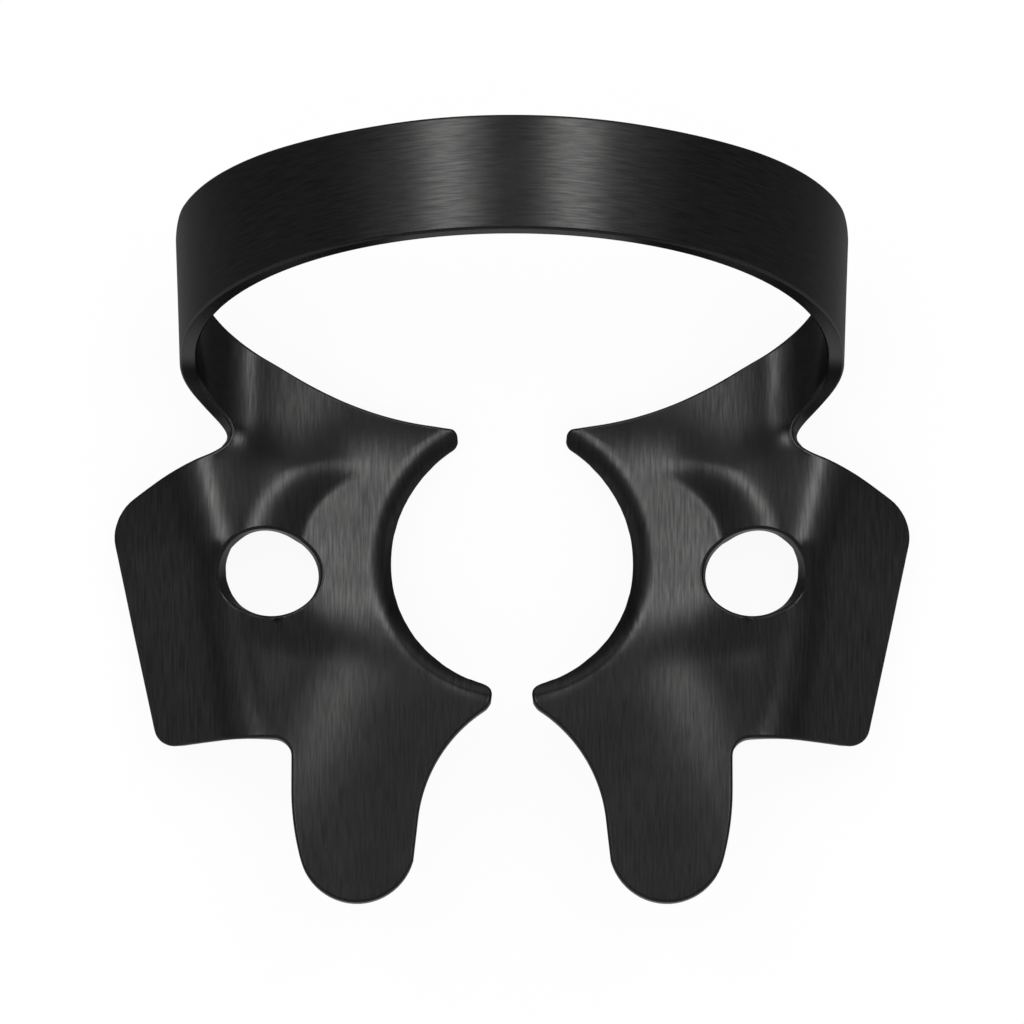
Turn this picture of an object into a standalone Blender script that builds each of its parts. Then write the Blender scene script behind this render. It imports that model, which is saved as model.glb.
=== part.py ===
"""Winged rubber dam clamp, pressed from one piece of spring steel sheet.

The clamp starts as a flat blank. Its narrow strip is rolled into the bow, its jaws are pressed
towards the tooth and its wings are folded down. One half of the blank lies in a plane (u, v):
u runs outwards from the plane of symmetry and, past the bend, on along the strip, and v runs
from the lobes towards the bow. formed() moves a point of the blank to its place in space.
"""
import math

import bpy
from mathutils import Vector
from mathutils.geometry import delaunay_2d_cdt

MM = 0.001

# Sheet
SHEET = 0.68 * MM
RIM_ROUND = 0.11 * MM

# Bow: a half circle on two short legs, which rise from the jaws in rounded corners
ARCH_RADIUS = 12.44 * MM
CORNER_RADIUS = 2.69 * MM
LEG_HEIGHT = 0.69 * MM
BOW_LEAN = math.radians(5.5)
BOW_FLARE = math.radians(2.5)
STRIP_FRONT = 4.73 * MM
STRIP_WIDTH_TOP = 4.54 * MM
STRIP_WIDTH_LEG = 5.11 * MM
STRIP_TAPER_LENGTH = 12.7 * MM
NECK_FRONT_LENGTH = 3.2 * MM
NECK_FRONT_ROUND = 1.92 * MM
NECK_BACK_LENGTH = 5.99 * MM
NECK_BACK_START = 0.97 * MM
NECK_BACK_RISE = 0.84 * MM
NECK_BACK_ROUND = 1.8 * MM
NECK_BACK_START_ROUND = 0.5 * MM
STRIP_TAPER_ROUND = 2.0 * MM
FLARE_AXIS = 6.27 * MM
FLARE_START = 4.0 * MM

# Notch between strip and wing, along which the bow's bend changes to the wing's fold
NOTCH_INSET = 0.47 * MM
NOTCH_DROP = 2.1 * MM
NOTCH_ROUND = 2.16 * MM
NOTCH_BLEND = 1.3 * MM
NECK_BLEND = 1.7 * MM
NECK_BLEND_START = 0.8 * MM
NECK_BLEND_LENGTH = 1.4 * MM

# Tooth opening between the jaws, and the prongs at its corners
TOOTH_HALF_GAP = 4.83 * MM
TOOTH_MIDDLE = -1.73 * MM
TOOTH_RADIUS_BACK = 5.44 * MM
TOOTH_RADIUS_FRONT = 5.13 * MM
BACK_PRONG_GAP = 4.34 * MM
BACK_PRONG_TIP = 0.5 * MM
FRONT_PRONG_GAP = 1.58 * MM
FRONT_PRONG_TIP = 0.67 * MM
BACK_EDGE_HOLLOW = 0.49 * MM
FRONT_EDGE_HOLLOW = 0.64 * MM

# Lobe at the front end of each jaw
LOBE_CENTRE = 6.03 * MM
LOBE_WIDTH = 4.84 * MM
LOBE_END = -14.94 * MM
LOBE_ROUND = 1.64 * MM
LOBE_STEP = 0.25 * MM
LOBE_STEP_ROUND = 0.69 * MM
LOBE_TAPER_OUTER = 0.36 * MM
LOBE_TAPER_INNER = 0.17 * MM
LOBE_SIDE_BULGE = 0.09 * MM
LOBE_TAPER_START = 4.37 * MM
LOBE_NECK_START = 3.11 * MM
LOBE_NECK_ROUND = 0.4 * MM

# Wing, beyond a straight fold that passes the forceps hole
FOLD_OFFSET = 2.0 * MM
FOLD_SLANT = 0.22
FOLD_HALF_WIDTH = 1.0 * MM
FOLD_FADE_END = 1.6 * MM
FOLD_FADE = 1.2 * MM
WING_DROOP = math.radians(38)
WING_REACH = 3.29 * MM
WING_TOP = 0.33 * MM
WING_BOTTOM = -8.38 * MM
WING_TOP_BULGE = 0.17 * MM
WING_ROUND_TOP = 1.1 * MM
WING_ROUND_BOTTOM = 0.73 * MM

# Forceps hole
HOLE_OFFSET = 0.53 * MM
HOLE_MIDDLE = -2.35 * MM
HOLE_LENGTH = 3.63 * MM
HOLE_WIDTH = 3.17 * MM

# Pressing of the jaw: a pitch towards the lobes, a dip towards the tooth and its rolled margin
JAW_PITCH = math.radians(8.0)
JAW_PITCH_START = 2.0 * MM
JAW_DIP = math.radians(7.0)
JAW_DIP_START = 7.8 * MM
JAW_DIP_MIDDLE = -1.6 * MM
JAW_DIP_REACH = 5.6 * MM
JAW_DIP_FADE = 4.4 * MM
TILT_BLEND = 1.8 * MM
ROLL_WIDTH = 0.85 * MM
ROLL_DEPTH = 0.38 * MM

# Swell behind the forceps hole: it rises from a creased arc round SWELL_CENTRE and falls softly.
# Its angles are in degrees, from straight outwards.
SWELL_CENTRE = (5.3 * MM, -1.2 * MM)
SWELL_RADIUS = 2.78 * MM
SWELL_SLOPE = 0.38
SWELL_WIDTH = 2.0 * MM
SWELL_WIDTH_TIP = 0.7 * MM
SWELL_TIP = 76.0
SWELL_FALL = 6.5 * MM
SWELL_START = -22.0
SWELL_START_FADE = 26.0
SWELL_END = 92.0
SWELL_END_FADE = 50.0

# Dent in front of the forceps hole: a soft oval trough
FRONT_DENT_CENTRE = (8.3 * MM, -6.1 * MM)
FRONT_DENT_TURN = math.radians(30)
FRONT_DENT_LENGTH = 2.4 * MM
FRONT_DENT_WIDTH = 1.5 * MM
FRONT_DENT_TAIL = 7.0 * MM
FRONT_DENT_DEPTH = 0.28 * MM

# Fullness of a rounded corner, and fineness of the mesh
CORNER_FULLNESS = 0.58
MERGE_DISTANCE = 0.02 * MM
GRID = 0.62 * MM
EDGE_STEP = 0.5 * MM
TURN_STEP = math.radians(24)
HOLE_STEPS = 28
MARGIN_ROWS = (0.35 * MM, 0.8 * MM)
EDGE_CLEARANCE = 0.3 * MM

# Places in the blank that follow from the sizes above
BEND = ARCH_RADIUS - CORNER_RADIUS
LEG_START = BEND + CORNER_RADIUS * math.pi / 2
ARCH_START = LEG_START + LEG_HEIGHT
STRIP_END = ARCH_START + ARCH_RADIUS * math.pi / 2
NOTCH = (BEND + NOTCH_INSET, STRIP_FRONT - NOTCH_DROP)
HOLE_CENTRE = (BEND - HOLE_OFFSET, HOLE_MIDDLE)


def smoothstep(x):
    """0 below 0, 1 above 1, and a smooth rise between."""
    x = min(max(x, 0.0), 1.0)
    return x * x * (3 - 2 * x)


def ramp(x, half_width):
    """0 below zero and x above it, with a rounded corner of the given half width."""
    if x <= -half_width:
        return 0.0
    if x >= half_width:
        return x
    return (x + half_width) ** 2 / (4 * half_width)


def bow_profile(u):
    """Distance from the plane of symmetry, and height, of the strip at u."""
    if u <= BEND:
        return u, 0.0
    if u <= LEG_START:
        turn = (u - BEND) / CORNER_RADIUS
        return BEND + CORNER_RADIUS * math.sin(turn), CORNER_RADIUS * (1 - math.cos(turn))
    if u <= ARCH_START:
        return ARCH_RADIUS, CORNER_RADIUS + u - LEG_START
    turn = (u - ARCH_START) / ARCH_RADIUS
    return ARCH_RADIUS * math.cos(turn), CORNER_RADIUS + LEG_HEIGHT + ARCH_RADIUS * math.sin(turn)


def tooth_edge(u, radius):
    """How far from TOOTH_MIDDLE the tooth opening's arc of this radius crosses u."""
    return math.sqrt(radius ** 2 - (u - TOOTH_HALF_GAP + radius) ** 2)


def past_tooth(u, v):
    """Distance from the edge of the tooth opening, whose two arcs meet at its widest place."""
    radius = TOOTH_RADIUS_BACK if v > TOOTH_MIDDLE else TOOTH_RADIUS_FRONT
    return math.hypot(u - TOOTH_HALF_GAP + radius, v - TOOTH_MIDDLE) - radius


def fold_line(v):
    """Where the wing's fold crosses the line at v."""
    return BEND + FOLD_OFFSET + FOLD_SLANT * (v - HOLE_MIDDLE - MM)


def wing_drop(u, v):
    """How far the wing hangs below the jaw; it fades out on the lobe, which stays flat."""
    beyond = (u - fold_line(v)) / math.hypot(1, FOLD_SLANT)
    beside_lobe = smoothstep((v - WING_BOTTOM + FOLD_FADE_END) / FOLD_FADE)
    return math.tan(WING_DROOP) * ramp(beyond, FOLD_HALF_WIDTH) * beside_lobe


def swell(u, v):
    """Height of the swell behind the hole, steepest at its creased inner edge."""
    across, along = u - SWELL_CENTRE[0], v - SWELL_CENTRE[1]
    beyond = math.hypot(across, along) - SWELL_RADIUS
    angle = math.degrees(math.atan2(along, across))
    narrowing = min(max(angle / SWELL_TIP, 0.0), 1.0)
    width = SWELL_WIDTH + (SWELL_WIDTH_TIP - SWELL_WIDTH) * narrowing
    share = min(max(beyond / width, 0.0), 1.0)
    fall = smoothstep(1 - (beyond - width) / SWELL_FALL)
    stretch = smoothstep((angle - SWELL_START) / SWELL_START_FADE)
    stretch *= smoothstep((SWELL_END - angle) / SWELL_END_FADE)
    return SWELL_SLOPE * width * (share - share ** 4 / 4) * fall * stretch


def front_dent(u, v):
    """Depth of the soft trough in front of the hole, steeper behind than in front."""
    across, along = u - FRONT_DENT_CENTRE[0], v - FRONT_DENT_CENTRE[1]
    cos, sin = math.cos(FRONT_DENT_TURN), math.sin(FRONT_DENT_TURN)
    long_way = (across * cos + along * sin) / FRONT_DENT_LENGTH
    short_way = along * cos - across * sin
    short_way /= FRONT_DENT_WIDTH if short_way > 0 else FRONT_DENT_TAIL
    return FRONT_DENT_DEPTH * math.exp(-long_way ** 2 - short_way ** 2)


def jaw_height(u, v):
    """Height of the pressed jaw, without the wing's fold."""
    pitch = math.tan(JAW_PITCH) * ramp(JAW_PITCH_START - v, TILT_BLEND)
    beside_hole = smoothstep((JAW_DIP_REACH - abs(v - JAW_DIP_MIDDLE)) / JAW_DIP_FADE)
    dip = math.tan(JAW_DIP) * ramp(JAW_DIP_START - u, TILT_BLEND) * beside_hole
    roll = ROLL_DEPTH * max(1 - past_tooth(u, v) / ROLL_WIDTH, 0.0) ** 2
    return swell(u, v) - pitch - dip - roll - front_dent(u, v)


def formed(u, v):
    """Place in space of a point of the blank."""
    jaw = jaw_height(min(u, BEND + CORNER_RADIUS), v)
    wing = Vector((u, v, jaw - wing_drop(u, v)))
    x, rise = bow_profile(u)
    flare = math.tan(BOW_FLARE) * (v - FLARE_AXIS) * min(rise / FLARE_START, 1.0)
    bow = Vector((x * (1 + flare / ARCH_RADIUS), v + math.tan(BOW_LEAN) * rise, rise + jaw))
    inward = smoothstep((BEND + NECK_BLEND_START - u) / NECK_BLEND_LENGTH)
    blend_width = NOTCH_BLEND + NECK_BLEND * inward
    return wing.lerp(bow, smoothstep(0.5 + (v - NOTCH[1]) / blend_width))


def blank_corners():
    """Corners of half the blank: place, rounding, and outward bulge of the edge that follows."""
    strip_back = STRIP_FRONT + STRIP_WIDTH_TOP
    leg_back = STRIP_FRONT + STRIP_WIDTH_LEG
    lobe_outer, lobe_inner = LOBE_CENTRE + LOBE_WIDTH / 2, LOBE_CENTRE - LOBE_WIDTH / 2
    front_tip, back_tip = FRONT_PRONG_GAP / 2, BACK_PRONG_GAP / 2
    front_tip_v = TOOTH_MIDDLE - tooth_edge(front_tip, TOOTH_RADIUS_FRONT)
    back_tip_v = TOOTH_MIDDLE + tooth_edge(back_tip, TOOTH_RADIUS_BACK)
    middle = (TOOTH_HALF_GAP, TOOTH_MIDDLE)
    front_bulge = -sagitta((front_tip, front_tip_v), middle, TOOTH_RADIUS_FRONT)
    back_bulge = -sagitta(middle, (back_tip, back_tip_v), TOOTH_RADIUS_BACK)
    return [
        ((STRIP_END, STRIP_FRONT), 0, 0),
        ((BEND + NECK_FRONT_LENGTH, STRIP_FRONT), NECK_FRONT_ROUND, 0),
        (NOTCH, NOTCH_ROUND, WING_TOP_BULGE),
        ((fold_line(WING_TOP) + WING_REACH, WING_TOP), WING_ROUND_TOP, 0),
        ((fold_line(WING_BOTTOM) + WING_REACH, WING_BOTTOM), WING_ROUND_BOTTOM, 0),
        ((lobe_outer, WING_BOTTOM - LOBE_STEP), LOBE_STEP_ROUND, 0),
        ((lobe_outer, LOBE_END + LOBE_TAPER_START), 0, LOBE_SIDE_BULGE),
        ((lobe_outer - LOBE_TAPER_OUTER, LOBE_END + LOBE_ROUND), 0, LOBE_ROUND),
        ((lobe_inner + LOBE_TAPER_INNER, LOBE_END + LOBE_ROUND), 0, 0),
        ((lobe_inner, LOBE_END + LOBE_NECK_START), LOBE_NECK_ROUND, -FRONT_EDGE_HOLLOW),
        ((front_tip, front_tip_v - FRONT_PRONG_TIP), FRONT_PRONG_TIP / 2, 0),
        ((front_tip, front_tip_v), FRONT_PRONG_TIP / 2, front_bulge),
        (middle, 0, back_bulge),
        ((back_tip, back_tip_v), BACK_PRONG_TIP / 2, 0),
        ((back_tip, back_tip_v + BACK_PRONG_TIP), BACK_PRONG_TIP / 2, -BACK_EDGE_HOLLOW),
        ((BEND - NECK_BACK_START, STRIP_FRONT + NECK_BACK_RISE), NECK_BACK_START_ROUND, 0),
        ((BEND + NECK_BACK_LENGTH, leg_back), NECK_BACK_ROUND, 0),
        ((ARCH_START + STRIP_TAPER_LENGTH, strip_back), STRIP_TAPER_ROUND, 0),
        ((STRIP_END, strip_back), 0, 0),
    ]


def sagitta(start, end, radius):
    """Height of an arc of this radius over the chord between two points."""
    return radius - math.sqrt(radius ** 2 - (Vector(end) - Vector(start)).length_squared / 4)


def edge(start, end, bulge):
    """An edge of the blank: a function that gives place and direction at a distance, and its length."""
    start, end = Vector(start), Vector(end)
    chord = (end - start).length
    ahead = (end - start) / chord
    if bulge == 0:
        return (lambda distance: (start + ahead * distance, ahead)), chord
    side = math.copysign(1, bulge)
    radius = (chord ** 2 / 4 + bulge ** 2) / (2 * bulge)
    centre = (start + end) / 2 + Vector((-ahead.y, ahead.x)) * (bulge - radius)
    first = math.atan2(start.y - centre.y, start.x - centre.x)
    half_turn = math.asin(chord / (2 * abs(radius)))

    def at(distance):
        angle = first - distance / radius
        spoke = Vector((math.cos(angle), math.sin(angle)))
        return centre + spoke * abs(radius), Vector((spoke.y, -spoke.x)) * side

    return at, 2 * half_turn * abs(radius)


def rounded_corner(start, direction, end, end_direction, reach):
    """A cubic curve from one edge to the next, which leaves and meets them smoothly."""
    first = start + direction * CORNER_FULLNESS * reach
    last = end - end_direction * CORNER_FULLNESS * reach
    count = max(math.ceil(2 * reach / EDGE_STEP), math.ceil(direction.angle(end_direction) / TURN_STEP))
    points = []
    for i in range(1, count + 1):
        t = i / count
        s = 1 - t
        points.append(start * s ** 3 + first * 3 * s * s * t + last * 3 * s * t * t + end * t ** 3)
    return points


def outline(corners):
    """Points round a chain of corners, along straight and bulging edges."""
    points = [Vector(corners[0][0])]
    direction = None
    for (start, rounding, bulge), (end, next_rounding, _) in zip(corners, corners[1:]):
        at, length = edge(start, end, bulge)
        if rounding:
            points += rounded_corner(points[-1], direction, *at(rounding), rounding)
        span = length - rounding - next_rounding
        count = math.ceil(span / EDGE_STEP - 0.01)
        points += [at(rounding + span * i / count)[0] for i in range(1, count + 1)]
        direction = at(length - next_rounding)[1]
    return points


def hole_outline():
    """Points round the forceps hole."""
    points = []
    for i in range(HOLE_STEPS):
        angle = 2 * math.pi * i / HOLE_STEPS
        points.append(Vector((HOLE_CENTRE[0] + HOLE_LENGTH / 2 * math.cos(angle),
                              HOLE_CENTRE[1] + HOLE_WIDTH / 2 * math.sin(angle))))
    return points


def is_inside(point, loop):
    """Whether a point of the blank lies inside a closed loop."""
    inside = False
    for a, b in zip(loop, loop[1:] + loop[:1]):
        if (a.y > point.y) != (b.y > point.y):
            if point.x < a.x + (b.x - a.x) * (point.y - a.y) / (b.y - a.y):
                inside = not inside
    return inside


def arc_points(centre, radius, turn):
    """Points along an arc that starts outwards of its centre and makes this turn."""
    count = int(abs(turn) * radius / EDGE_STEP)
    points = []
    for i in range(count):
        angle = turn * (i + 0.5) / count
        points.append(Vector((centre[0] + radius * math.cos(angle), centre[1] + radius * math.sin(angle))))
    return points


def row_points():
    """Points in rows along the rolled margin and the creased edge of the swell."""
    points = []
    for radius, side in ((TOOTH_RADIUS_BACK, 1), (TOOTH_RADIUS_FRONT, -1)):
        turn = side * math.acos(1 - TOOTH_HALF_GAP / radius)
        for offset in MARGIN_ROWS:
            points += arc_points((TOOTH_HALF_GAP - radius, TOOTH_MIDDLE), radius + offset, turn)
    return points + arc_points(SWELL_CENTRE, SWELL_RADIUS, math.radians(SWELL_TIP))


def grid_points():
    """Points of an even grid over the blank, finer along the bend at the foot of the bow."""
    rows = math.ceil((STRIP_FRONT + STRIP_WIDTH_LEG - LOBE_END) / GRID)
    points = []
    u = STRIP_END - GRID / 2
    stagger = 0
    while u > 0:
        points += [Vector((u, LOBE_END + (j + stagger) * GRID)) for j in range(rows)]
        u -= GRID / 2 if BEND < u < LEG_START + GRID else GRID
        stagger = 0.5 - stagger
    return points


def clear_points(points, rim, hole, others, gap):
    """The points that lie inside the blank, clear of its edges and by a gap of other points."""
    kept = []
    for point in points:
        if is_inside(point, rim) and not is_inside(point, hole):
            if min((point - q).length for q in rim + hole) > EDGE_CLEARANCE:
                if min(((point - q).length for q in others), default=GRID) > gap:
                    kept.append(point)
    return kept


def half_blank():
    """Triangulated half of the blank: its points and its triangles."""
    rim, hole = outline(blank_corners()), hole_outline()
    rows = clear_points(row_points(), rim, hole, [], 0)
    points = rim + hole + rows + clear_points(grid_points(), rim, hole, rows, GRID / 2)
    loops = [(i, (i + 1) % len(rim)) for i in range(len(rim))]
    loops += [(len(rim) + i, len(rim) + (i + 1) % len(hole)) for i in range(len(hole))]
    scaled = [point / MM for point in points]
    found, _, triangles, *_ = delaunay_2d_cdt(scaled, loops, [], 1, 1e-5)
    kept = []
    for triangle in triangles:
        middle = sum((found[i] for i in triangle), Vector((0, 0))) / 3 * MM
        if is_inside(middle, rim) and not is_inside(middle, hole):
            kept.append(triangle)
    return [point * MM for point in found], kept


def resting_tilt(outline_points, balance):
    """Turn about X that sets the clamp on the two lines it rests on, with its weight between them."""
    hull = []
    for point in sorted(outline_points):
        while len(hull) > 1 and turns_down(hull[-2], hull[-1], point):
            hull.pop()
        hull.append(point)
    tilts = []
    for (y0, z0), (y1, z1) in zip(hull, hull[1:]):
        tilt = math.atan2(z1 - z0, y1 - y0)
        reach = (balance[0] - y0) * math.cos(tilt) + (balance[1] - z0) * math.sin(tilt)
        if 0 < reach < math.hypot(y1 - y0, z1 - z0):
            tilts.append(-tilt)
    return min(tilts, key=abs)


def turns_down(a, b, c):
    """Whether b lies on or above the line from a to c, so that it is no corner of a lower hull."""
    return (b[0] - a[0]) * (c[1] - a[1]) <= (b[1] - a[1]) * (c[0] - a[0])


def add_modifiers(clamp):
    """Mirror the half, give the sheet its thickness and soften its rims."""
    mirror = clamp.modifiers.new("other_half", "MIRROR")
    mirror.use_axis = (True, False, False)
    mirror.merge_threshold = MERGE_DISTANCE
    sheet = clamp.modifiers.new("sheet", "SOLIDIFY")
    sheet.thickness = SHEET
    sheet.offset = 0
    sheet.use_even_offset = True
    rims = clamp.modifiers.new("rims", "BEVEL")
    rims.width = RIM_ROUND
    rims.segments = 1
    rims.limit_method = "ANGLE"
    rims.angle_limit = math.radians(55)


def set_down(clamp):
    """Turn and move the clamp so that it rests on the ground, centred over the origin."""
    bpy.context.view_layer.update()
    evaluated = clamp.evaluated_get(bpy.context.evaluated_depsgraph_get())
    mesh = evaluated.to_mesh()
    corners = [vertex.co.copy() for vertex in mesh.vertices]
    area = sum(face.area for face in mesh.polygons)
    balance = sum((face.center * face.area for face in mesh.polygons), Vector()) / area
    evaluated.to_mesh_clear()
    tilt = resting_tilt([(co.y, co.z) for co in corners], (balance.y, balance.z))
    turned = [(co.y * math.cos(tilt) - co.z * math.sin(tilt),
               co.y * math.sin(tilt) + co.z * math.cos(tilt)) for co in corners]
    clamp.rotation_euler.x = tilt
    clamp.location.y = -(min(y for y, _ in turned) + max(y for y, _ in turned)) / 2
    clamp.location.z = -min(z for _, z in turned)


def coated_steel():
    """Near-black coating over brushed steel."""
    material = bpy.data.materials.new("black_coated_steel")
    material.use_nodes = True
    shader = material.node_tree.nodes["Principled BSDF"]
    shader.inputs["Base Color"].default_value = (0.035, 0.035, 0.037, 1)
    shader.inputs["Metallic"].default_value = 0.85
    shader.inputs["Roughness"].default_value = 0.38
    return material


def main():
    for old in list(bpy.data.objects):
        bpy.data.objects.remove(old)
    collection = bpy.data.collections.new("rubber_dam_clamp")
    bpy.context.scene.collection.children.link(collection)
    points, triangles = half_blank()
    mesh = bpy.data.meshes.new("clamp_body")
    mesh.from_pydata([formed(point.x, point.y) for point in points], [], triangles)
    mesh.materials.append(coated_steel())
    mesh.shade_smooth()
    clamp = bpy.data.objects.new("clamp_body", mesh)
    collection.objects.link(clamp)
    add_modifiers(clamp)
    set_down(clamp)


main()
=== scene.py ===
"""Studio picture of a winged rubber dam clamp in black coated, brushed spring steel.

The clamp is one sheet of metal. A flat blank (u, v) is cut in mesh code, and a Geometry Nodes
tree bends it by the rule of its forming tools: the strip is rolled into the bow, the jaws are
pressed and the wings folded down. u runs outwards from the plane of symmetry and on along the
strip, and v runs from the lobes towards the bow.
"""
import logging
import math
from dataclasses import dataclass, field
from enum import Enum

import bmesh
import bpy
import numpy as np
from mathutils import Matrix, Vector
from mathutils.geometry import delaunay_2d_cdt


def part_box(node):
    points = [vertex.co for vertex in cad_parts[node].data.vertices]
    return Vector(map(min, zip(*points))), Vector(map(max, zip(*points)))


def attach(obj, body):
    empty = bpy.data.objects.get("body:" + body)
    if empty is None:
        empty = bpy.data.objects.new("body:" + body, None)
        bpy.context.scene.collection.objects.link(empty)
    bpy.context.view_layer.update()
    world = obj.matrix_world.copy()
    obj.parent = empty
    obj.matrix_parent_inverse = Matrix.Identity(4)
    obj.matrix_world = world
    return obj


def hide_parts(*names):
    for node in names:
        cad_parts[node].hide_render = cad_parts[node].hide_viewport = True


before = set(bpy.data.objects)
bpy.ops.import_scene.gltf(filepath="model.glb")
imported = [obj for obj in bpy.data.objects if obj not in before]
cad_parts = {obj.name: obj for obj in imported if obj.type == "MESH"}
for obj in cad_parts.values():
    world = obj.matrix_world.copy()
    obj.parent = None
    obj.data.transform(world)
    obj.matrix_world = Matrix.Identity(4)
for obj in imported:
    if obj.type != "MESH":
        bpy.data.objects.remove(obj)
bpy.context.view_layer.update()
MM = 0.001
NODE = "clamp_body"

log = logging.getLogger("rubber_dam_clamp")

Corner = tuple[tuple[float, float], float, float]


class Term:
    """A number socket of a node tree, on which arithmetic adds Math nodes."""

    def __init__(self, graph: "Graph", socket: bpy.types.NodeSocket) -> None:
        """Wrap a socket.

        Args:
            graph: The tree that the socket belongs to.
            socket: The output socket that holds the number.
        """
        self.graph = graph
        self.socket = socket

    def __add__(self, other: "Number") -> "Term":
        """Add."""
        return self.graph.math("ADD", self, other)

    def __radd__(self, other: "Number") -> "Term":
        """Add with the number on the left."""
        return self.graph.math("ADD", other, self)

    def __sub__(self, other: "Number") -> "Term":
        """Subtract."""
        return self.graph.math("SUBTRACT", self, other)

    def __rsub__(self, other: "Number") -> "Term":
        """Subtract from the number on the left."""
        return self.graph.math("SUBTRACT", other, self)

    def __mul__(self, other: "Number") -> "Term":
        """Multiply."""
        return self.graph.math("MULTIPLY", self, other)

    def __rmul__(self, other: "Number") -> "Term":
        """Multiply with the number on the left."""
        return self.graph.math("MULTIPLY", other, self)

    def __truediv__(self, other: "Number") -> "Term":
        """Divide."""
        return self.graph.math("DIVIDE", self, other)

    def __rtruediv__(self, other: "Number") -> "Term":
        """Divide the number on the left."""
        return self.graph.math("DIVIDE", other, self)

    def __pow__(self, other: "Number") -> "Term":
        """Raise to a power."""
        return self.graph.math("POWER", self, other)

    def __neg__(self) -> "Term":
        """Change the sign."""
        return self.graph.math("MULTIPLY", self, -1.0)


Number = Term | float | int


class Graph:
    """A node tree and the few ways in which this file adds nodes to it."""

    def __init__(self, tree: bpy.types.NodeTree) -> None:
        """Wrap an empty tree."""
        self.tree = tree

    @classmethod
    def emptied(cls, owner: bpy.types.Material | bpy.types.World) -> "Graph":
        """Give a material or a world an empty tree."""
        owner.use_nodes = True
        owner.node_tree.nodes.clear()
        return cls(owner.node_tree)

    def node(self, kind: str, settings: dict | None = None, values: dict | None = None) -> bpy.types.Node:
        """Add one node.

        Args:
            kind: The node's type.
            settings: Its properties, set before its sockets.
            values: A value, socket or Term for each input, by name or number.

        Returns:
            The new node.
        """
        node = self.tree.nodes.new(kind)
        for name, value in (settings or {}).items():
            setattr(node, name, value)
        for name, value in (values or {}).items():
            if isinstance(value, Term):
                value = value.socket
            if isinstance(value, bpy.types.NodeSocket):
                self.tree.links.new(value, node.inputs[name])
            else:
                node.inputs[name].default_value = value
        return node

    def math(self, operation: str, *numbers: Number) -> Term:
        """Add a Math node and return its result."""
        node = self.node("ShaderNodeMath", {"operation": operation}, dict(enumerate(numbers)))
        return Term(self, node.outputs[0])

    def clamp(self, number: Number, low: Number, high: Number) -> Term:
        """Keep a number between two limits."""
        return self.math("MINIMUM", self.math("MAXIMUM", number, low), high)

    def smoothstep(self, number: Term) -> Term:
        """0 below 0, 1 above 1 and a smooth rise between."""
        part = self.clamp(number, 0.0, 1.0)
        return part * part * (3.0 - 2.0 * part)

    def ramp(self, number: Term, half_width: Number) -> Term:
        """0 below zero and the number above it, with a rounded corner.

        Args:
            number: The number to cut off.
            half_width: How far the rounded corner reaches either side of zero.

        Returns:
            The ramp's height.
        """
        part = self.clamp((number + half_width) / (2.0 * half_width), 0.0, 1.0)
        return half_width * part * part + self.math("MAXIMUM", number - half_width, 0.0)

    def length(self, across: Term, along: Term) -> Term:
        """Distance from zero in two directions."""
        return self.math("SQRT", across * across + along * along)

    def blend(self, share: Term, first: Number, second: Number) -> Term:
        """Mix two numbers by the share of the second."""
        return first + (second - first) * share

    def bell(self, number: Term) -> Term:
        """1 at zero, falling evenly to both sides."""
        return self.math("EXPONENT", -(number * number))

    def seen_directly(self) -> Term:
        """1 for rays from the camera, a mirror or a lens, and 0 for the light that falls on things."""
        path = self.node("ShaderNodeLightPath")
        seen = Term(self, path.outputs["Is Camera Ray"])
        for name in ("Is Glossy Ray", "Is Transmission Ray"):
            seen = self.math("MAXIMUM", seen, Term(self, path.outputs[name]))
        return seen


@dataclass(frozen=True)
class Bow:
    """The spring: a half circle on short legs that rise from the jaws in rounded corners."""

    arch_radius: float = 12.44 * MM
    corner_radius: float = 2.69 * MM
    leg_height: float = 0.69 * MM
    lean: float = math.tan(math.radians(5.5))
    flare: float = math.tan(math.radians(2.5))
    front: float = 4.73 * MM
    width_top: float = 4.54 * MM
    width_leg: float = 5.11 * MM
    taper_length: float = 12.7 * MM
    taper_round: float = 2.0 * MM
    flare_axis: float = 6.27 * MM
    flare_start: float = 4.0 * MM

    @property
    def bend(self) -> float:
        """Where the strip starts to turn up."""
        return self.arch_radius - self.corner_radius

    @property
    def leg_start(self) -> float:
        """Where the leg starts on the strip."""
        return self.bend + self.corner_radius * math.pi / 2

    @property
    def arch_start(self) -> float:
        """Where the half circle starts on the strip."""
        return self.leg_start + self.leg_height

    @property
    def end(self) -> float:
        """The crown of the bow, in the plane of symmetry."""
        return self.arch_start + self.arch_radius * math.pi / 2

    def corners(self) -> tuple[list[Corner], list[Corner]]:
        """Corners of the strip's front edge and of its back edge."""
        back_top, back_leg = self.front + self.width_top, self.front + self.width_leg
        front = [((self.end, self.front), 0, 0)]
        taper = ((self.arch_start + self.taper_length, back_top), self.taper_round, 0)
        back = [taper, ((self.end, back_top), 0, 0)]
        return front, [((self.bend + Neck().back_length, back_leg), Neck().back_round, 0)] + back


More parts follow.
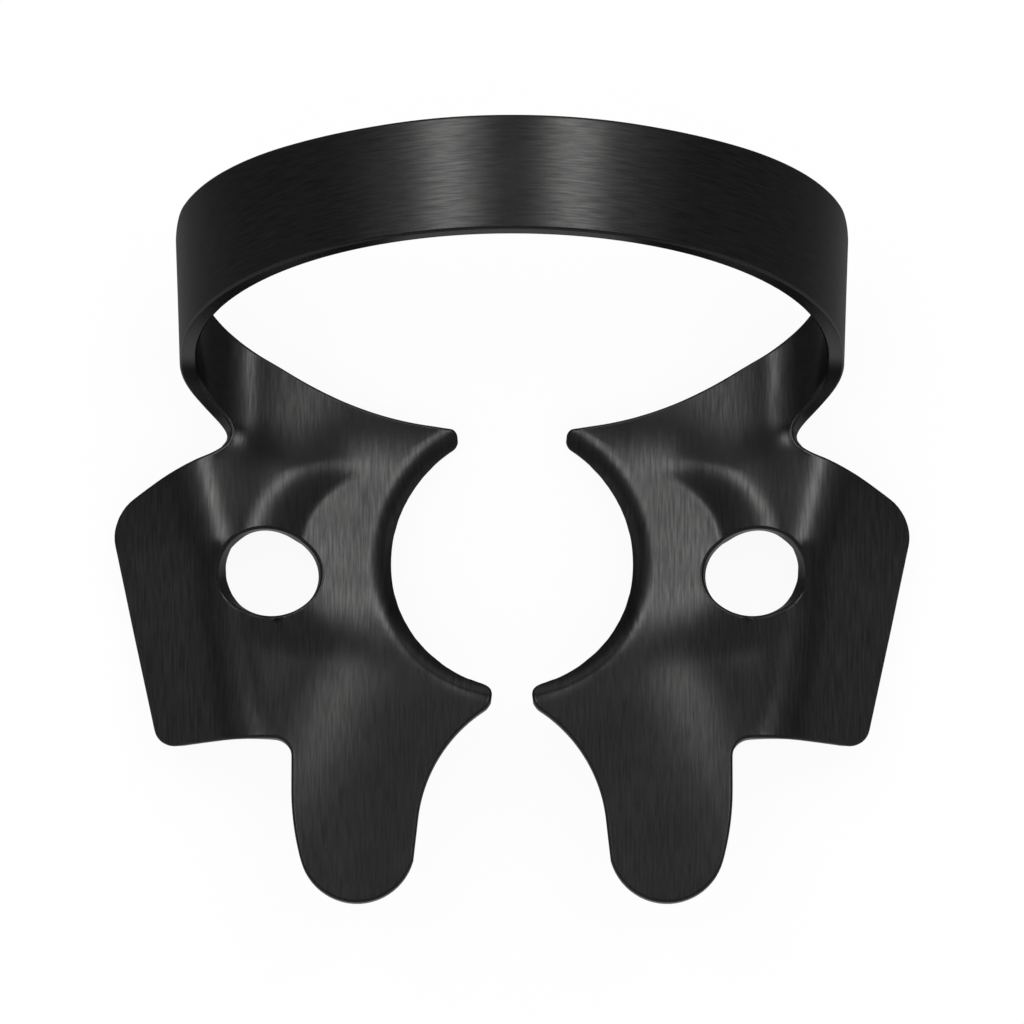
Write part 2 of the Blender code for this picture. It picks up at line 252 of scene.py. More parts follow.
@dataclass(frozen=True)
class Neck:
    """Where the strip leaves the jaw, between a rounded notch and a curved back edge."""

    front_length: float = 3.2 * MM
    front_round: float = 1.92 * MM
    back_length: float = 5.99 * MM
    back_start: float = 0.97 * MM
    back_rise: float = 0.84 * MM
    back_round: float = 1.8 * MM
    back_start_round: float = 0.5 * MM
    notch_inset: float = 0.47 * MM
    notch_drop: float = 2.1 * MM
    notch_round: float = 2.16 * MM
    notch_blend: float = 1.3 * MM
    blend: float = 1.7 * MM
    blend_start: float = 0.8 * MM
    blend_length: float = 1.4 * MM

    def corners(self, bow: Bow, wing_bulge: float) -> tuple[list[Corner], Corner]:
        """Corners of the notch in front of the neck, and where its back edge starts."""
        front = [
            ((bow.bend + self.front_length, bow.front), self.front_round, 0),
            ((bow.bend + self.notch_inset, bow.front - self.notch_drop), self.notch_round, wing_bulge),
        ]
        back = (bow.bend - self.back_start, bow.front + self.back_rise)
        return front, (back, self.back_start_round, 0)


@dataclass(frozen=True)
class ToothOpening:
    """The hollow between the jaws, and the prongs at its corners."""

    half_gap: float = 4.83 * MM
    middle: float = -1.73 * MM
    radius_back: float = 5.44 * MM
    radius_front: float = 5.13 * MM
    back_gap: float = 4.34 * MM
    back_tip: float = 0.5 * MM
    front_gap: float = 1.58 * MM
    front_tip: float = 0.67 * MM
    back_hollow: float = 0.49 * MM
    front_hollow: float = 0.64 * MM

    def crossing(self, u: float, radius: float) -> float:
        """How far from the middle an arc of the opening crosses u."""
        return math.sqrt(radius ** 2 - (u - self.half_gap + radius) ** 2)

    def corners(self) -> list[Corner]:
        """Corners from the front prong round to the back prong."""
        front_u, back_u = self.front_gap / 2, self.back_gap / 2
        front_v = self.middle - self.crossing(front_u, self.radius_front)
        back_v = self.middle + self.crossing(back_u, self.radius_back)
        middle = (self.half_gap, self.middle)
        front_bulge = -sagitta((front_u, front_v), middle, self.radius_front)
        back_bulge = -sagitta(middle, (back_u, back_v), self.radius_back)
        return [
            ((front_u, front_v - self.front_tip), self.front_tip / 2, 0),
            ((front_u, front_v), self.front_tip / 2, front_bulge),
            (middle, 0, back_bulge),
            ((back_u, back_v), self.back_tip / 2, 0),
            ((back_u, back_v + self.back_tip), self.back_tip / 2, -self.back_hollow),
        ]


@dataclass(frozen=True)
class Lobe:
    """The flat tongue at the front end of a jaw."""

    centre: float = 6.03 * MM
    width: float = 4.84 * MM
    end: float = -14.94 * MM
    round: float = 1.64 * MM
    step: float = 0.25 * MM
    step_round: float = 0.69 * MM
    taper_outer: float = 0.36 * MM
    taper_inner: float = 0.17 * MM
    side_bulge: float = 0.09 * MM
    taper_start: float = 4.37 * MM
    neck_start: float = 3.11 * MM
    neck_round: float = 0.4 * MM

    def corners(self, wing_bottom: float, hollow: float) -> list[Corner]:
        """Corners from the wing round the tip to the front prong.

        Args:
            wing_bottom: Where the wing ends.
            hollow: How far the edge to the front prong curves in.

        Returns:
            The lobe's corners.
        """
        outer, inner = self.centre + self.width / 2, self.centre - self.width / 2
        return [
            ((outer, wing_bottom - self.step), self.step_round, 0),
            ((outer, self.end + self.taper_start), 0, self.side_bulge),
            ((outer - self.taper_outer, self.end + self.round), 0, self.round),
            ((inner + self.taper_inner, self.end + self.round), 0, 0),
            ((inner, self.end + self.neck_start), self.neck_round, -hollow),
        ]


@dataclass(frozen=True)
class Wing:
    """The flap outside a straight fold that passes the forceps hole."""

    fold_offset: float = 2.0 * MM
    fold_slant: float = 0.22
    fold_half_width: float = 1.0 * MM
    fold_fade_end: float = 1.6 * MM
    fold_fade: float = 1.2 * MM
    droop: float = math.tan(math.radians(38))
    reach: float = 3.29 * MM
    top: float = 0.33 * MM
    bottom: float = -8.38 * MM
    top_bulge: float = 0.17 * MM
    round_top: float = 1.1 * MM
    round_bottom: float = 0.73 * MM

    def fold(self, bend: float, hole_middle: float, v: Number) -> Number:
        """Where the fold crosses v; it takes and gives numbers or Terms."""
        return bend + self.fold_offset + self.fold_slant * (v - hole_middle - MM)

    def corners(self, bend: float, hole_middle: float) -> list[Corner]:
        """Outer corners of the wing."""
        return [
            ((self.fold(bend, hole_middle, self.top) + self.reach, self.top), self.round_top, 0),
            ((self.fold(bend, hole_middle, self.bottom) + self.reach, self.bottom), self.round_bottom, 0),
        ]


@dataclass(frozen=True)
class ForcepsHole:
    """The hole that a forceps tip goes into, drawn out a little at its upper outer rim."""

    offset: float = 0.53 * MM
    middle: float = -2.35 * MM
    length: float = 3.63 * MM
    width: float = 3.17 * MM
    drawn_out: float = 0.2 * MM
    drawn_depth: float = 0.5 * MM
    steps: int = 72

    def outline(self, bend: float) -> list[Vector]:
        """Points round the hole's upper rim."""
        turns = [2 * math.pi * i / self.steps for i in range(self.steps)]
        centre = Vector((bend - self.offset + self.drawn_out / 2, self.middle))
        reach = (self.length + self.drawn_out) / 2
        return [centre + Vector((reach * math.cos(t), self.width / 2 * math.sin(t))) for t in turns]

    def taper(self, places: np.ndarray, normals: np.ndarray, bend: float) -> np.ndarray:
        """Draw the hole's lower rim back in, which leaves its outer wall slanting.

        Args:
            places: The sheet's points in the forming position, one row each.
            normals: The sheet's normal at each point.
            bend: Where the strip starts to turn up.

        Returns:
            The moved points.
        """
        middle = bend - self.offset + self.drawn_out / 2
        across = (np.abs(places[:, 0]) - middle) / ((self.length + self.drawn_out) / 2)
        along = (places[:, 1] - self.middle) / (self.width / 2)
        beyond = (np.hypot(across, along) - 1) * self.width / 2
        share = np.clip(1 - beyond / self.drawn_depth, 0, 1) * (normals[:, 2] < 0)
        shift = -self.drawn_out * (1 + across) / 2 * share
        moved = places.copy()
        moved[:, 0] += np.sign(places[:, 0]) * shift
        return moved


@dataclass(frozen=True)
class Pressing:
    """What the press gives a jaw: a pitch, a dip beside the tooth and its rolled margin.

    Behind the hole the dip draws the sheet back, by a share dip_draw of its depth.
    """

    pitch: float = math.tan(math.radians(7.7))
    pitch_start: float = 1.83 * MM
    dip: float = math.tan(math.radians(8.5))
    dip_start: float = 9.1 * MM
    dip_middle: float = -0.73 * MM
    dip_reach: float = 6.5 * MM
    dip_fade: float = 4.7 * MM
    dip_draw: float = 0.287
    tilt_blend: float = 1.84 * MM
    roll_width: float = 0.61 * MM
    roll_depth: float = 0.32 * MM
    roll_power: float = 1.7


@dataclass(frozen=True)
class Swell:
    """The swell behind the forceps hole, which rises from a creased arc and falls softly."""

    centre: tuple[float, float] = (5.36 * MM, -1.28 * MM)
    radius: float = 2.79 * MM
    slope: float = 0.40
    width: float = 2.5 * MM
    width_tip: float = 0.58 * MM
    tip: float = 76.0
    fall: float = 10.0 * MM
    start: float = -23.0
    start_fade: float = 24.0
    end: float = 102.0
    end_fade: float = 67.0


@dataclass(frozen=True)
class FrontDent:
    """The soft oval trough in front of the forceps hole, steeper behind than in front."""

    centre: tuple[float, float] = (8.0 * MM, -5.7 * MM)
    turn: float = math.radians(20)
    length: float = 2.3 * MM
    width: float = 1.3 * MM
    tail: float = 7.0 * MM
    depth: float = 0.28 * MM


@dataclass(frozen=True)
class Collar:
    """The slight rise that the punch left round the forceps hole."""

    centre: tuple[float, float] = (8.9 * MM, -2.6 * MM)
    radius: float = 2.4 * MM
    height: float = 0.14 * MM


def placed(name: str, data: bpy.types.ID) -> bpy.types.Object:
    """Make an object of this data and put it in the scene."""
    thing = bpy.data.objects.new(name, data)
    bpy.context.scene.collection.objects.link(thing)
    return thing


def sagitta(start: tuple[float, float], end: tuple[float, float], radius: float) -> float:
    """Height of an arc of this radius over the chord between two points."""
    return radius - math.sqrt(radius ** 2 - (Vector(end) - Vector(start)).length_squared / 4)


class Outline:
    """Turns a chain of corners into points along straight and bulging edges."""

    def __init__(self, step: float, turn_step: float, fullness: float) -> None:
        """Set how close the points lie and how full the corners are.

        Args:
            step: Distance between points along an edge, in metres.
            turn_step: Turn between points round a corner, in radians.
            fullness: Pull of a rounded corner's handles, as a share of its length.
        """
        self.step = step
        self.turn_step = turn_step
        self.fullness = fullness

    @staticmethod
    def edge(start: tuple[float, float], end: tuple[float, float], bulge: float) -> tuple:
        """Describe one edge.

        Args:
            start: First corner.
            end: Second corner.
            bulge: How far the edge's middle stands outwards.

        Returns:
            A function that gives place and direction at a distance, and the edge's length.
        """
        first, last = Vector(start), Vector(end)
        chord = (last - first).length
        ahead = (last - first) / chord
        if bulge == 0:
            return (lambda distance: (first + ahead * distance, ahead)), chord
        side = math.copysign(1, bulge)
        radius = (chord ** 2 / 4 + bulge ** 2) / (2 * bulge)
        centre = (first + last) / 2 + Vector((-ahead.y, ahead.x)) * (bulge - radius)
        from_angle = math.atan2(first.y - centre.y, first.x - centre.x)
        half_turn = math.asin(chord / (2 * abs(radius)))

        def at(distance: float) -> tuple[Vector, Vector]:
            """Place and direction at a distance along the arc."""
            angle = from_angle - distance / radius
            spoke = Vector((math.cos(angle), math.sin(angle)))
            return centre + spoke * abs(radius), Vector((spoke.y, -spoke.x)) * side

        return at, 2 * half_turn * abs(radius)

    def rounded(
        self, start: Vector, ahead: Vector, end: Vector, end_ahead: Vector, reach: float
    ) -> list[Vector]:
        """Points of a smooth curve from one edge to the next."""
        first, last = start + ahead * self.fullness * reach, end - end_ahead * self.fullness * reach
        count = max(math.ceil(2 * reach / self.step), math.ceil(ahead.angle(end_ahead) / self.turn_step))
        points = []
        for i in range(1, count + 1):
            t = i / count
            s = 1 - t
            points.append(start * s ** 3 + first * 3 * s * s * t + last * 3 * s * t * t + end * t ** 3)
        return points

    def points(self, corners: list[Corner]) -> list[Vector]:
        """Points round a chain of corners.

        Args:
            corners: Place, rounding and outward bulge of the edge that follows, of each corner.

        Returns:
            The outline's points, in order.
        """
        points, ahead = [Vector(corners[0][0])], None
        for (start, rounding, bulge), (end, next_rounding, _) in zip(corners, corners[1:]):
            at, length = self.edge(start, end, bulge)
            if rounding:
                points += self.rounded(points[-1], ahead, *at(rounding), rounding)
            span = length - rounding - next_rounding
            count = math.ceil(span / self.step - 0.01)
            points += [at(rounding + span * i / count)[0] for i in range(1, count + 1)]
            ahead = at(length - next_rounding)[1]
        return points


@dataclass(frozen=True)
class Clamp:
    """The whole clamp: its regions, and the mesh of its sheet."""

    bow: Bow = field(default_factory=Bow)
    neck: Neck = field(default_factory=Neck)
    tooth: ToothOpening = field(default_factory=ToothOpening)
    lobe: Lobe = field(default_factory=Lobe)
    wing: Wing = field(default_factory=Wing)
    hole: ForcepsHole = field(default_factory=ForcepsHole)
    pressing: Pressing = field(default_factory=Pressing)
    swell: Swell = field(default_factory=Swell)
    front_dent: FrontDent = field(default_factory=FrontDent)
    collar: Collar = field(default_factory=Collar)
    thickness: float = 0.68 * MM
    rim_round: float = 0.13 * MM
    rim_segments: int = 3
    rim_angle: float = math.radians(55)
    grid: float = 0.27 * MM
    grid_gap: float = 0.6
    edge_step: float = 0.24 * MM
    turn_step: float = math.radians(9)
    corner_fullness: float = 0.58
    merge_distance: float = 0.01 * MM
    resting_tilt: float = math.radians(-19.845862539186164)

    def corners(self) -> list[Corner]:
        """Corners round half the blank, from the crown's front edge to its back edge."""
        strip_front, strip_back = self.bow.corners()
        notch, neck_back = self.neck.corners(self.bow, self.wing.top_bulge)
        wing = self.wing.corners(self.bow.bend, self.hole.middle)
        lobe = self.lobe.corners(self.wing.bottom, self.tooth.front_hollow)
        return strip_front + notch + wing + lobe + self.tooth.corners() + [neck_back] + strip_back

    @staticmethod
    def inside(points: np.ndarray, loop: np.ndarray) -> np.ndarray:
        """Tell which points lie inside a closed loop.

        Args:
            points: Places, one row each.
            loop: The loop's corners, one row each.

        Returns:
            A true or false for each point.
        """
        result = np.zeros(len(points), bool)
        for (ax, ay), (bx, by) in zip(loop, np.roll(loop, -1, axis=0)):
            if ay != by:
                crosses = (ay > points[:, 1]) != (by > points[:, 1])
                result ^= crosses & (points[:, 0] < ax + (bx - ax) * (points[:, 1] - ay) / (by - ay))
        return result

    def blank(self) -> bpy.types.Mesh:
        """Make the flat mesh of half the blank, in an even grid of triangles."""
        corners = self.corners()
        rim = Outline(self.edge_step, self.turn_step, self.corner_fullness).points(corners + corners[:1])[:-1]
        hole = self.hole.outline(self.bow.bend)
        rim_array, hole_array = np.array(rim), np.array(hole)
        low, high = rim_array.min(0), rim_array.max(0)
        columns = np.arange(high[0] - self.grid / 2, 0, -self.grid * math.sqrt(0.75))
        rows = np.arange(low[1], high[1], self.grid)
        grid = np.array([(u, v + self.grid / 2 * (i % 2)) for i, u in enumerate(columns) for v in rows])
        grid = grid[self.inside(grid, rim_array) & ~self.inside(grid, hole_array)]
        edges = np.concatenate([rim_array, hole_array])
        gaps = np.array([np.min(np.hypot(*(edges - point).T)) for point in grid])
        inner = [Vector(point) for point in grid[gaps > self.grid_gap * self.grid]]
        loops = [(i, (i + 1) % len(rim)) for i in range(len(rim))]
        loops += [(len(rim) + i, len(rim) + (i + 1) % len(hole)) for i in range(len(hole))]
        found, _, faces, *_ = delaunay_2d_cdt([p / MM for p in rim + hole + inner], loops, [], 1, 1e-5)
        places = np.array(found) * MM
        middles = places[np.array(faces)].mean(1)
        kept = self.inside(middles, rim_array) & ~self.inside(middles, hole_array)
        mesh = bpy.data.meshes.new("blank")
        mesh.from_pydata([(u, v, 0) for u, v in places], [], [f for f, keep in zip(faces, kept) if keep])
        mesh.shade_smooth()
        return mesh

    def build(self, coat: bpy.types.Material, rim: bpy.types.Material) -> tuple[bpy.types.Object, Matrix]:
        """Form the blank into the finished clamp.

        Args:
            coat: The finish of the sheet's two faces.
            rim: The finish of its cut rims.

        Returns:
            The clamp as a plain mesh, resting on the ground, and the move that set it down.
        """
        flat = placed("blank", self.blank())
        FormingTools(self).add_to(flat, coat)
        flat.data.materials.append(coat)
        flat.data.materials.append(rim)
        sheet = flat.modifiers.new("sheet", "SOLIDIFY")
        sheet.thickness = self.thickness
        sheet.offset = 0
        sheet.use_even_offset = True
        sheet.material_offset_rim = 1
        punched = self.applied(flat, "punched_sheet")
        places, normals = (np.empty(3 * len(punched.vertices)) for _ in range(2))
        punched.vertices.foreach_get("co", places)
        punched.vertices.foreach_get("normal", normals)
        places = self.hole.taper(places.reshape(-1, 3), normals.reshape(-1, 3), self.bow.bend)
        punched.vertices.foreach_set("co", places.ravel())
        sheet = placed("punched_sheet", punched)
        rims = sheet.modifiers.new("rims", "BEVEL")
        rims.width = self.rim_round
        rims.segments = self.rim_segments
        rims.limit_method = "ANGLE"
        rims.angle_limit = self.rim_angle
        rims.harden_normals = True
        rims.material = 1
        mesh = self.applied(sheet, "coated_clamp")
        seat = self.seat(mesh)
        mesh.transform(seat)
        return placed("coated_clamp", mesh), seat

    @staticmethod
    def applied(piece: bpy.types.Object, name: str) -> bpy.types.Mesh:
        """Turn an object and its modifiers into a plain mesh, and remove the object."""
        bpy.context.view_layer.update()
        depsgraph = bpy.context.evaluated_depsgraph_get()
        mesh = bpy.data.meshes.new_from_object(piece.evaluated_get(depsgraph), depsgraph=depsgraph)
        bpy.data.objects.remove(piece)
        mesh.name = name
        return mesh

    def seat(self, mesh: bpy.types.Mesh) -> Matrix:
        """Find the move from the forming position to where the CAD node rests.

        Args:
            mesh: The clamp in its forming position.

        Returns:
            The turn and the shift.
        """
        turn = Matrix.Rotation(self.resting_tilt, 4, "X")
        places = [turn @ vertex.co for vertex in mesh.vertices]
        low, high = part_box(NODE)
        y_middle = (min(co.y for co in places) + max(co.y for co in places)) / 2
        shift = Vector((0, (low.y + high.y) / 2 - y_middle, low.z - min(co.z for co in places)))
        return Matrix.Translation(shift) @ turn


class FormingTools:
    """The Geometry Nodes tree that bends half a flat blank into the whole clamp."""

    def __init__(self, clamp: Clamp) -> None:
        """Keep the clamp's sizes."""
        self.clamp = clamp
        self.graph = Graph(bpy.data.node_groups.new("forming_tools", "GeometryNodeTree"))
        self.sizes = {
            "Bend": clamp.bow.bend,
            "Corner radius": clamp.bow.corner_radius,
            "Leg height": clamp.bow.leg_height,
            "Arch radius": clamp.bow.arch_radius,
            "Lean": clamp.bow.lean,
            "Flare": clamp.bow.flare,
            "Strip end": clamp.bow.end,
            "Notch": clamp.bow.front - clamp.neck.notch_drop,
            "Notch blend": clamp.neck.notch_blend,
            "Neck blend": clamp.neck.blend,
            "Wing droop": clamp.wing.droop,
            "Fold half width": clamp.wing.fold_half_width,
            "Jaw pitch": clamp.pressing.pitch,
            "Jaw dip": clamp.pressing.dip,
            "Margin depth": clamp.pressing.roll_depth,
            "Margin width": clamp.pressing.roll_width,
            "Swell slope": clamp.swell.slope,
            "Front dent": clamp.front_dent.depth,
            "Collar height": clamp.collar.height,
        }
        interface = self.graph.tree.interface
        interface.new_socket("Blank", in_out="INPUT", socket_type="NodeSocketGeometry")
        interface.new_socket("Finish", in_out="INPUT", socket_type="NodeSocketMaterial")
        for name in self.sizes:
            interface.new_socket(name, in_out="INPUT", socket_type="NodeSocketFloat")
        interface.new_socket("Sheet", in_out="OUTPUT", socket_type="NodeSocketGeometry")
        self.inputs = self.graph.node("NodeGroupInput")

    def size(self, name: str) -> Term:
        """A named size of the tree."""
        return Term(self.graph, self.inputs.outputs[name])

    def wing_drop(self, u: Term, v: Term) -> Term:
        """How far the wing hangs below the jaw; it fades out on the lobe."""
        g, wing = self.graph, self.clamp.wing
        fold = wing.fold(self.size("Bend"), self.clamp.hole.middle, v)
        beyond = (u - fold) / math.hypot(1, wing.fold_slant)
        beside_lobe = g.smoothstep((v - wing.bottom + wing.fold_fade_end) / wing.fold_fade)
        return self.size("Wing droop") * g.ramp(beyond, self.size("Fold half width")) * beside_lobe

    def past_tooth(self, u: Term, v: Term) -> Term:
        """Distance from the edge of the tooth opening."""
        g, tooth = self.graph, self.clamp.tooth
        behind = g.math("GREATER_THAN", v, tooth.middle)
        radius = g.blend(behind, tooth.radius_front, tooth.radius_back)
        return g.length(u - tooth.half_gap + radius, v - tooth.middle) - radius

    def swell(self, u: Term, v: Term) -> Term:
        """Height of the swell behind the hole, steepest at its creased inner edge."""
        g, swell = self.graph, self.clamp.swell
        across, along = u - swell.centre[0], v - swell.centre[1]
        beyond = g.length(across, along) - swell.radius
        angle = g.math("DEGREES", g.math("ARCTAN2", along, across))
        width = g.blend(g.clamp(angle / swell.tip, 0.0, 1.0), swell.width, swell.width_tip)
        share = g.clamp(beyond / width, 0.0, 1.0)
        fall = g.smoothstep(1.0 - (beyond - width) / swell.fall)
        stretch = g.smoothstep((angle - swell.start) / swell.start_fade)
        stretch = stretch * g.smoothstep((swell.end - angle) / swell.end_fade)
        return self.size("Swell slope") * width * (share - share ** 4.0 / 4.0) * fall * stretch

    def front_dent(self, u: Term, v: Term) -> Term:
        """Depth of the soft trough in front of the hole, steeper behind than in front."""
        g, dent = self.graph, self.clamp.front_dent
        across, along = u - dent.centre[0], v - dent.centre[1]
        cos, sin = math.cos(dent.turn), math.sin(dent.turn)
        long_way = (across * cos + along * sin) / dent.length
        short_way = along * cos - across * sin
        short_way = short_way / g.blend(g.math("GREATER_THAN", short_way, 0.0), dent.tail, dent.width)
        return self.size("Front dent") * g.math("EXPONENT", -(long_way * long_way + short_way * short_way))

    def collar(self, u: Term, v: Term) -> Term:
        """Height of the slight rise round the hole."""
        collar = self.clamp.collar
        away = self.graph.length(u - collar.centre[0], v - collar.centre[1]) / collar.radius
        return self.size("Collar height") * self.graph.bell(away)

    def dip(self, u: Term, v: Term) -> tuple[Term, Term]:
        """How far the jaw dips towards the tooth, and how far the dip draws the sheet back."""
        g, pressing = self.graph, self.clamp.pressing
        off_middle = g.math("ABSOLUTE", v - pressing.dip_middle)
        beside_hole = g.smoothstep((pressing.dip_reach - off_middle) / pressing.dip_fade)
        behind = g.math("GREATER_THAN", v, pressing.dip_middle) * (1.0 - beside_hole)
        fall = self.size("Jaw dip") * g.ramp(pressing.dip_start - u, pressing.tilt_blend)
        return fall * (beside_hole + behind), fall * behind * pressing.dip_draw

    def jaw_height(self, u: Term, v: Term) -> Term:
        """Height of the pressed jaw, without the wing's fold."""
        g, pressing = self.graph, self.clamp.pressing
        pitch = self.size("Jaw pitch") * g.ramp(pressing.pitch_start - v, pressing.tilt_blend)
        dip, _ = self.dip(u, v)
        margin = g.math("MAXIMUM", 1.0 - self.past_tooth(u, v) / self.size("Margin width"), 0.0)
        roll = self.size("Margin depth") * margin ** pressing.roll_power
        return self.swell(u, v) - pitch - dip - roll - self.front_dent(u, v) + self.collar(u, v)

    def formed(self, u: Term, v: Term) -> tuple[Term, Term, Term]:
        """Place in space of a point of the blank."""
        g = self.graph
        bend, corner, arch = self.size("Bend"), self.size("Corner radius"), self.size("Arch radius")
        jaw = self.jaw_height(g.math("MINIMUM", u, bend + corner), v)
        wing_z = jaw - self.wing_drop(u, v)
        corner_turn = g.clamp((u - bend) / corner, 0.0, math.pi / 2)
        on_leg = g.math("MAXIMUM", u - bend - corner * (math.pi / 2), 0.0)
        leg = g.math("MINIMUM", on_leg, self.size("Leg height"))
        arch_turn = (on_leg - leg) / arch
        reach = g.math("MINIMUM", u, bend) + corner * g.math("SINE", corner_turn)
        reach = reach + arch * (g.math("COSINE", arch_turn) - 1.0)
        rise = corner * (1.0 - g.math("COSINE", corner_turn)) + leg + arch * g.math("SINE", arch_turn)
        behind = v - self.clamp.bow.flare_axis
        flare = self.size("Flare") * behind * g.math("MINIMUM", rise / self.clamp.bow.flare_start, 1.0)
        inward = g.smoothstep((bend + self.clamp.neck.blend_start - u) / self.clamp.neck.blend_length)
        blend_width = self.size("Notch blend") + self.size("Neck blend") * inward
        share = g.smoothstep(0.5 + (v - self.size("Notch")) / blend_width)
        _, drawn_back = self.dip(u, v)
        return (
            g.blend(share, u, reach * (1.0 + flare / arch)),
            v + drawn_back + share * self.size("Lean") * rise,
            g.blend(share, wing_z, rise + jaw),
        )

    def half(self, place: tuple[Term, Term, Term], u: Term, v: Term, side: int) -> bpy.types.NodeSocket:
        """Form one half of the clamp and mark its brushing directions.

        Args:
            place: Where each point of the right half goes.
            u: The blank's first direction.
            v: The blank's second direction.
            side: 1 for the right half, -1 for the left.

        Returns:
            The half's geometry.
        """
        g = self.graph
        geometry = self.inputs.outputs["Blank"]
        along_strip = (self.size("Strip end") - u) * float(side)
        marks = {"brush_strip": (along_strip, v, 0.0), "brush_jaw": (u * float(side), v, 0.0)}
        for name, values in marks.items():
            vector = g.node("ShaderNodeCombineXYZ", None, dict(enumerate(values)))
            store = g.node(
                "GeometryNodeStoreNamedAttribute",
                {"data_type": "FLOAT_VECTOR", "domain": "POINT"},
                {"Geometry": geometry, "Name": name, "Value": vector.outputs[0]},
            )
            geometry = store.outputs[0]
        x, y, z = place
        target = g.node("ShaderNodeCombineXYZ", None, {0: x * float(side), 1: y, 2: z})
        move = g.node("GeometryNodeSetPosition", None, {"Geometry": geometry, "Position": target.outputs[0]})
        if side > 0:
            return move.outputs[0]
        return g.node("GeometryNodeFlipFaces", None, {"Mesh": move.outputs[0]}).outputs[0]

    def add_to(self, flat: bpy.types.Object, coat: bpy.types.Material) -> None:
        """Build the tree and put it on the flat blank.

        Args:
            flat: The object that holds the blank.
            coat: The finish of the sheet.
        """
        g = self.graph
        position = g.node("GeometryNodeInputPosition")
        separate = g.node("ShaderNodeSeparateXYZ", None, {0: position.outputs[0]})
        u, v = Term(g, separate.outputs[0]), Term(g, separate.outputs[1])
        place = self.formed(u, v)
        join = g.node("GeometryNodeJoinGeometry")
        for side in (1, -1):
            g.tree.links.new(self.half(place, u, v, side), join.inputs[0])
        merged = g.node(
            "GeometryNodeMergeByDistance",
            None,
            {"Geometry": join.outputs[0], "Distance": self.clamp.merge_distance},
        )
        real = g.node("GeometryNodeRealizeInstances", None, {"Geometry": merged.outputs[0]})
        finish = g.node(
            "GeometryNodeSetMaterial",
            None,
            {"Geometry": real.outputs[0], "Material": self.inputs.outputs["Finish"]},
        )
        g.node("NodeGroupOutput", None, {"Sheet": finish.outputs[0]})
        modifier = flat.modifiers.new("forming", "NODES")
        modifier.node_group = g.tree
        sockets = {s.name: s.identifier for s in g.tree.interface.items_tree if s.in_out == "INPUT"}
        modifier[sockets["Finish"]] = coat
        for name, value in self.sizes.items():
            modifier[sockets[name]] = float(value)


class Region(Enum):
    """Which part of the sheet a finish is made for."""

    FACE = "face"
    RIM = "rim"


